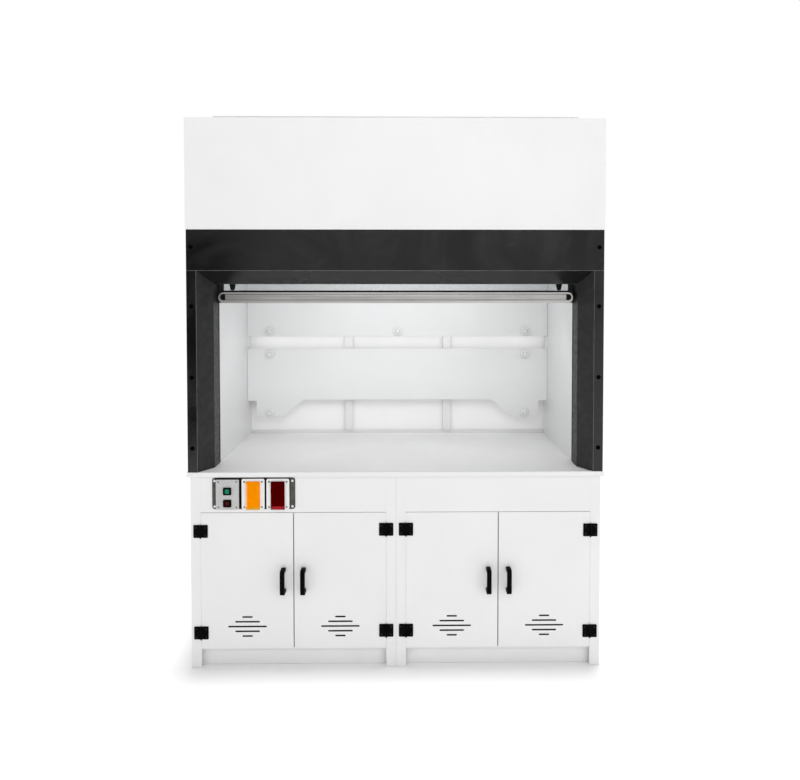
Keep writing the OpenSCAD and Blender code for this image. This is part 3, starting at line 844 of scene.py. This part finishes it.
# Conical stops with a rounded foot, which meet the handle when the sash is up
BUMPER_X = 729
BUMPER_Y = 132
BUMPER_FOOT = 1642.3
CONE = [(0, 1.5), (0.6, 5), (2.4, 8.2), (5.5, 9.8), (24, 13.2), (24.4, 13.6), (27.7, 13.6)]
bm = bmesh.new()
for side in (-1, 1):
    add_turned(bm, (side * BUMPER_X, BUMPER_Y, BUMPER_FOOT), CONE, "Z")
settle(bm, "sash_bumper_cones", [RUBBER], "hood", ["sash_bumpers"])

# ---- Sash: glass, stiles and handle ----

# Above this height, in metres, the stiles and their top rail are light, not dark
SASH_CAP = 2.405
finished("sash_glass", GLASS, None, 0.3, 1, "sash")
finished(
    "sash_stiles",
    DARK_STILE,
    None,
    1.0,
    2,
    "sash",
    SASH_TOP,
    lambda f: f.calc_center_median().z > SASH_CAP,
    SASH_CAP,
)
finished("lift_brackets", STEEL, None, 0.8, 2, "sash")

# The handle: a channel with a pocket, the grip bar in it, a core at each end and a seal round it
HANDLE_W = 1578
CHANNEL_Z = 1610
CHANNEL_H = 48
CHANNEL_FRONT = 118
CHANNEL_BACK = 168
POCKET_W = 1564
POCKET_Z = 1612.5
POCKET_H = 28
POCKET_FLOOR = 122
GRIP_HALF_W = 759
CORE_X = 770.5
SEAL_Z = 1614
SEAL_H = 56
bm = bmesh.new()
add_tray(
    bm,
    outline_points(0, CHANNEL_Z, HANDLE_W, CHANNEL_H, 23.5, 10),
    outline_points(0, POCKET_Z, POCKET_W, POCKET_H, 13.9, 10),
    CHANNEL_FRONT,
    POCKET_FLOOR,
    CHANNEL_BACK,
)
shade_rounds(bm)
soften(bm, 0.0012, 3, 0)
settle(bm, "handle_channel", [RAIL], "sash", ["handle_rail"])

bm = bmesh.new()
crown = [(123, 1600.4), (120.4, 1600.4), (119.8, 1601.1), (119.3, 1604), (119.1, 1608)]
crown += [(119, 1612.5), (119.1, 1617), (119.3, 1621), (119.8, 1623.9), (120.4, 1624.6)]
crown += [(123, 1624.6)]
add_bar(bm, crown, -GRIP_HALF_W, GRIP_HALF_W)
shade_rounds(bm, 40)
settle(bm, "handle_grip_bar", [BRUSHED], "sash", ["handle_bar"])

bm = bmesh.new()
for side in (-1, 1):
    add_plate(bm, outline_points(side * CORE_X, POCKET_Z, 19, 25, 9.4), 119.8, 123)
shade_rounds(bm)
soften(bm, 0.0015, 2, 0)
settle(bm, "handle_end_cores", [RUBBER], "sash")

bm = bmesh.new()
add_plate(bm, outline_points(0, SEAL_Z, HANDLE_W, SEAL_H, 27.5, 10), 121, 166)
shade_rounds(bm)
soften(bm, 0.001, 2, 0)
settle(bm, "handle_top_seal", [RUBBER], "sash")

# ---- Lifting gear ----

GEAR_X = 850
SHAFT_Z = 2300
PULLEY_R = 35
CABLE_Y = 175
WEIGHT_Y = 750
WEIGHT_TOP = 1430
BRACKET_TOP = 1636
# The rope's own measures, in metres
ROPE_RADIUS = 0.002
ROPE_LAY = 0.030
ROPE_STEP = 0.006
STRANDS = 6


def rope(name, paths):
    """A wire rope along each path of (x, y, z) places."""
    verts, edges = [], []
    for path in paths:
        first = len(verts)
        verts += [at(*p) for p in path]
        edges += [(first + i, first + i + 1) for i in range(len(path) - 1)]
    mesh = grown(
        ROPE,
        name,
        verts,
        edges,
        {
            "Rope Radius": ROPE_RADIUS,
            "Lay Length": ROPE_LAY,
            "Strand Count": STRANDS,
            "Step Length": ROPE_STEP,
            "Finish": STEEL,
        },
    )
    piece = linked(bpy.data.objects.new(name, mesh))
    return piece


def drops(y, low):
    """The two straight runs from the pulleys' height down to low."""
    return [[(s * GEAR_X, y, SHAFT_Z), (s * GEAR_X, y, low)] for s in (-1, 1)]


def quarter(y, sign):
    """The cable's quarter turn round a pulley: sign is -1 on the sash's side, 1 on the other."""
    turns = [math.radians(90 * k / 12) for k in range(13)]
    return [(y + sign * PULLEY_R * math.cos(a), SHAFT_Z + PULLEY_R * math.sin(a)) for a in turns]


front_quarter = quarter(CABLE_Y + PULLEY_R, -1)
rear_quarter = quarter(WEIGHT_Y - PULLEY_R, 1)
over = front_quarter + rear_quarter[::-1]
top_run = rope("lifting_rope_top_runs", [[(s * GEAR_X, y, z) for y, z in over] for s in (-1, 1)])
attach(top_run, "hood")
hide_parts("cable_top_runs")
sash_drop = rope("lifting_rope_sash_drops", drops(CABLE_Y, BRACKET_TOP))
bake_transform(sash_drop)
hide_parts("cable_front_drops")
weight_drop = rope("lifting_rope_weight_drops", drops(WEIGHT_Y, WEIGHT_TOP))
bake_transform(weight_drop)
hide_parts("cable_rear_drops")

finished("pulley_bearings", BEARING, None, 1.5, 2)
finished("front_shaft", STEEL, None, 0.4, 1, "front_shaft")
finished("rear_shaft", STEEL, None, 0.4, 1, "rear_shaft")
finished("counterweights", CAST, None, 4.0, 3, "counterweights")

# ---- Doors: pulls and hinges ----

LEAF_FACE = CABINET_SET - 3
LEAF_CORNER = 0.0035
# Half the height of a painted-shade plate behind the knuckles, where it starts and ends from the
# hinge line, and the leaf's screws
SHADE_PLATE_HALF_H = 27.6
SHADE_PLATE_REACH = (0.5, 6.5)
LEAF_SCREW_X = 21
LEAF_SCREW_Z = 17
LEAF_SCREW_RADIUS = 4.0


def far_from_pins(place):
    """True beyond the knuckles, where a leaf's outer corners are."""
    return min(abs(abs(place.x * MM) - abs(h)) for h in HINGE_LINES) > 25


def leaves(node, body):
    """Hinge leaves with their outer corners rounded."""
    bm = copy_of(node)
    round_corners(bm, LEAF_CORNER, far_from_pins)
    shade_rounds(bm)
    soften(bm, 0.0006, 2, 1)
    settle(bm, node + "_finished", [BLACK, BLACK_EDGE_LIGHT_AND_SHADE], body, [node])


def knuckle_shade_plates(name, lines, turns, height_rows, side, body):
    """Thin black plate behind each hinge's knuckles: painted shade over the gap beside them."""
    bm = bmesh.new()
    for line, turn, heights in zip(lines, turns, height_rows):
        ends = sorted(line + side * turn * reach for reach in SHADE_PLATE_REACH)
        for z in heights:
            low = (ends[0], CABINET_SET - 0.5, z - SHADE_PLATE_HALF_H)
            add_box(bm, low, (ends[1], CABINET_SET, z + SHADE_PLATE_HALF_H))
    settle(bm, name, [BLACK], body)


def leaf_screws(line, turn, heights, side):
    """Two screws in each leaf, either side of the middle knuckle; side is 1 on the door."""
    x = line + side * turn * LEAF_SCREW_X
    return [(x, LEAF_FACE, z + dz) for z in heights for dz in (-LEAF_SCREW_Z, LEAF_SCREW_Z)]


for n, line, turn, heights in zip(DOORS, HINGE_LINES, DOOR_TURNS, HINGE_HEIGHTS):
    body = f"door_{n}"
    finished(f"door_pull_{n}", BLACK, BLACK_EDGE_LIGHT_AND_SHADE, 2.4, 3, body)
    leaves(f"door_leaves_{n}", body)
    knuckle_shade_plates(f"door_leaf_roots_{n}", [line], [turn], [heights], 1, body)
    screws(
        f"door_leaf_screws_{n}",
        leaf_screws(line, turn, heights, 1),
        LEAF_SCREW_RADIUS,
        BLACK_SCREW,
        body,
        seed=10 + n,
    )
leaves("hinge_leaves_fixed", "hood")
knuckle_shade_plates("fixed_leaf_roots", HINGE_LINES, DOOR_TURNS, HINGE_HEIGHTS, -1, "hood")
finished("hinge_pins", BLACK, None, 0.5, 2)
screws(
    "fixed_leaf_screws",
    [p for row in zip(HINGE_LINES, DOOR_TURNS, HINGE_HEIGHTS) for p in leaf_screws(*row, -1)],
    LEAF_SCREW_RADIUS,
    BLACK_SCREW,
    "hood",
    seed=21,
)

# ---- Control panel ----

BUTTON_X = -729
BUTTON_ZS = (775, 722)
BUTTON_PLATE_Z = 760
SOCKET_XS = (-618, -511)
SOCKET_Z = 760.5
# Front faces of the backplate, of the modules on it and of the covers
PLATE_FACE = 17
MODULE_FACE = 13
COVER_FACE = 5.7
COVER_LOW = 696
# Screws of the backplate, then of the modules on it, whose heights are from a module's middle
CAP_XS = (-784.5, -448.5)
CAP_ZS = (819, 707.5)
CAP_RADIUS = 5.2
MODULE_SCREW_ZS = (-55, 55)
MODULE_SCREW_RADIUS = 4.2

# The control plate's rounded edges are near black: painted shade round the plate
finished("control_backplate", PLATE_DARK, BLACK_EDGE_LIGHT_AND_SHADE, 0.8, 2)
finished("button_plate", PLATE_LIGHT, None, 0.8, 2)
finished("socket_frames", SOCKET, None, 1.2, 3)
finished("socket_inserts", SOCKET, None, 0.3, 1)
finished("wiring_box", PALE_GREY, None, 1.5, 2)
finished("green_button", BUTTON_GREEN, BLACK, 1.2, 3, "green_button")
finished("red_button", BUTTON_RED, BLACK, 2.0, 3, "red_button")
finished("orange_cover", ORANGE, None, 1.0, 2, "orange_cover")
finished("red_cover", DARK_RED, None, 1.0, 2, "red_cover")

# Black sheet in the rubber finish between the modules and the plate, seen in the gaps: painted
# shade
bm = bmesh.new()
add_ring(
    bm,
    outline_points(-620.5, 764.5, 324, 132, 3),
    outline_points(-620.5, 759, 60, 60, 3),
    PLATE_FACE - 0.6,
    PLATE_FACE,
)
settle(bm, "module_gasket", [RUBBER], "hood")

# Square guards that the buttons stand in
bm = bmesh.new()
for z in BUTTON_ZS:
    add_ring(
        bm,
        outline_points(BUTTON_X, z, 35, 32, 4),
        outline_points(BUTTON_X, z, 21.6, 21.6, 1),
        MODULE_FACE - 4.6,
        MODULE_FACE,
    )
shade_rounds(bm)
soften(bm, 0.0012, 3, 0)
settle(bm, "button_guards", [BLACK], "hood")

screws(
    "backplate_screw_caps",
    [(x, PLATE_FACE, z) for x in CAP_XS for z in CAP_ZS],
    CAP_RADIUS,
    SCREW_WHITE,
    "hood",
    HEX_HEAD,
    5,
)
screws(
    "button_plate_screws",
    [
        (BUTTON_X + x, MODULE_FACE, BUTTON_PLATE_Z + z)
        for x in (-38.5, 38.5)
        for z in MODULE_SCREW_ZS
    ],
    MODULE_SCREW_RADIUS,
    SCREW_GREY,
    "hood",
    seed=6,
)
screws(
    "socket_frame_screws",
    [
        (c + x, MODULE_FACE, SOCKET_Z + z)
        for c in SOCKET_XS
        for x in (-38, 38)
        for z in MODULE_SCREW_ZS
    ],
    MODULE_SCREW_RADIUS,
    SCREW_GREY,
    "hood",
    seed=8,
)

# Paler rim and yellow strip of the orange cover, and the brighter strip of the dark red one
bm = bmesh.new()
add_box(bm, (-647.3, COVER_FACE - 0.7, 709), (-641.5, COVER_FACE + 0.5, 809), 0)
add_box(bm, (-641, COVER_FACE - 0.5, COVER_LOW + 0.6), (-589.2, COVER_FACE + 0.5, 705.5), 1)
soften(bm, 0.0004, 2, 0)
settle(bm, "orange_cover_trim", [ORANGE_LIGHT, YELLOW], "orange_cover")
bm = bmesh.new()
add_box(bm, (-536, COVER_FACE - 0.6, COVER_LOW + 0.6), (-482.2, COVER_FACE + 0.5, 710.5))
soften(bm, 0.0004, 2, 0)
settle(bm, "red_cover_strip", [RED], "red_cover")

for pattern in (CROSS_HEAD, HEX_HEAD):
    bpy.data.objects.remove(pattern)

# ---- Floor, light and camera ----


def mottled(finish, noise, shade, light):
    """Cloud a studio surface between two greys."""
    finish.colour(finish.blend(finish.band(noise, 0.3, 0.7), grey(shade), grey(light)))
    return finish.material


def staged(bm, name, material):
    """A bmesh as a studio piece, which is no part of the hood."""
    mesh = bpy.data.meshes.new(name)
    bm.to_mesh(mesh)
    bm.free()
    mesh.materials.append(material)
    piece = linked(bpy.data.objects.new(name, mesh))
    return piece


FLOOR_HALF_W = 40
finish = Finish("Pale studio floor", 0.65, 0.15)
floor_material = mottled(finish, finish.noise(0.7, 3.0), 0.93, 0.95)
bm = bmesh.new()
bmesh.ops.create_grid(bm, x_segments=1, y_segments=1, size=FLOOR_HALF_W)
staged(bm, "studio_floor", floor_material).location.z = -0.001

# The sky gives less light than the backdrop that is seen
SKY_LIGHT = 0.58
SKY_SEEN = 1.0
world = bpy.data.worlds.new("Soft studio")
world.use_nodes = True
sky = world.node_tree
background = sky.nodes["Background"]
background.inputs["Strength"].default_value = SKY_LIGHT
backdrop = sky.nodes.new("ShaderNodeBackground")
backdrop.inputs["Strength"].default_value = SKY_SEEN
for shade in (background, backdrop):
    shade.inputs["Color"].default_value = (1, 1, 1, 1)
seen = sky.nodes.new("ShaderNodeLightPath")
either = sky.nodes.new("ShaderNodeMixShader")
sky.links.new(seen.outputs["Is Camera Ray"], either.inputs[0])
sky.links.new(background.outputs[0], either.inputs[1])
sky.links.new(backdrop.outputs[0], either.inputs[2])
sky.links.new(either.outputs[0], sky.nodes["World Output"].inputs[0])
bpy.context.scene.world = world


def aim(name, data, place, target):
    """A lamp at a place, turned towards its target."""
    lamp = linked(bpy.data.objects.new(name, data))
    lamp.location = place
    lamp.rotation_euler = (Vector(target) - Vector(place)).to_track_quat("-Z", "Y").to_euler()


def soft_light(name, place, target, size, power):
    """A rectangular lamp: size is its width and height in metres, power is in watts."""
    data = bpy.data.lights.new(name, "AREA")
    data.shape = "RECTANGLE"
    data.size, data.size_y = size
    data.energy = power
    aim(name, data, place, target)


overhead = bpy.data.lights.new("overhead_wash", "SUN")
overhead.energy = 1.7
overhead.angle = math.radians(6)
aim("overhead_wash", overhead, (0.05, 0.11, 3), (0, 0, 0))
soft_light("front_right_softbox", (4.6, -4.9, 2.4), (0.1, 0, 1.3), (2.6, 3.0), 42)
soft_light("front_left_softbox", (-4.8, -5.6, 2.4), (0, 0, 1.3), (2.2, 2.6), 13)
soft_light("front_high_softbox", (0.3, -4.4, 3.6), (0, -0.1, 0.9), (2.6, 1.4), 39)
# Weak lamps: under the lamp box, behind the slot and the arch of the baffles, and in the chamber
soft_light("hood_lamp", at(0, 325, 2058), at(0, 345, 0), (1.0, 0.11), 2.7)
soft_light("plenum_glow_high", at(0, 752, 1364), at(0, 826, 1364), (1.6, 0.1), 0.48)
soft_light("plenum_glow_low", at(0, 752, 970), at(0, 826, 970), (1.6, 0.2), 0.36)
soft_light("chamber_fill", at(0, 240, 1400), at(0, 620, 980), (1.5, 0.45), 0.8)

# Dark card at the left, beyond the view, which the glossy dark frame mirrors
CARD_Y = -2.9
CARD_CORNERS = [(-1.45, 0.4), (-3.6, 0.4), (-3.6, 2.6), (-1.9, 2.6), (-1.263, 1.934)]
finish = Finish("Black studio card", 0.9, 0.1)
card_material = mottled(finish, finish.noise(2.0), 0.004, 0.008)
bm = bmesh.new()
bm.faces.new([bm.verts.new((x, CARD_Y, z)) for x, z in CARD_CORNERS])
card = staged(bm, "studio_card", card_material)
card.visible_camera = False
card.visible_diffuse = False
card.visible_shadow = False

camera_data = bpy.data.cameras.new("camera")
camera_data.sensor_width = 36.0
camera_data.lens = 30.83
camera_data.shift_x = -0.016
camera_data.shift_y = -0.1
camera = linked(bpy.data.objects.new("camera", camera_data))
camera.location = (0.0377, -3.3443, 1.6416)
camera.rotation_euler = (math.radians(90 - 1.622), 0.0, math.radians(-0.679))
bpy.context.scene.camera = camera
bpy.context.scene.view_settings.view_transform = "Standard"
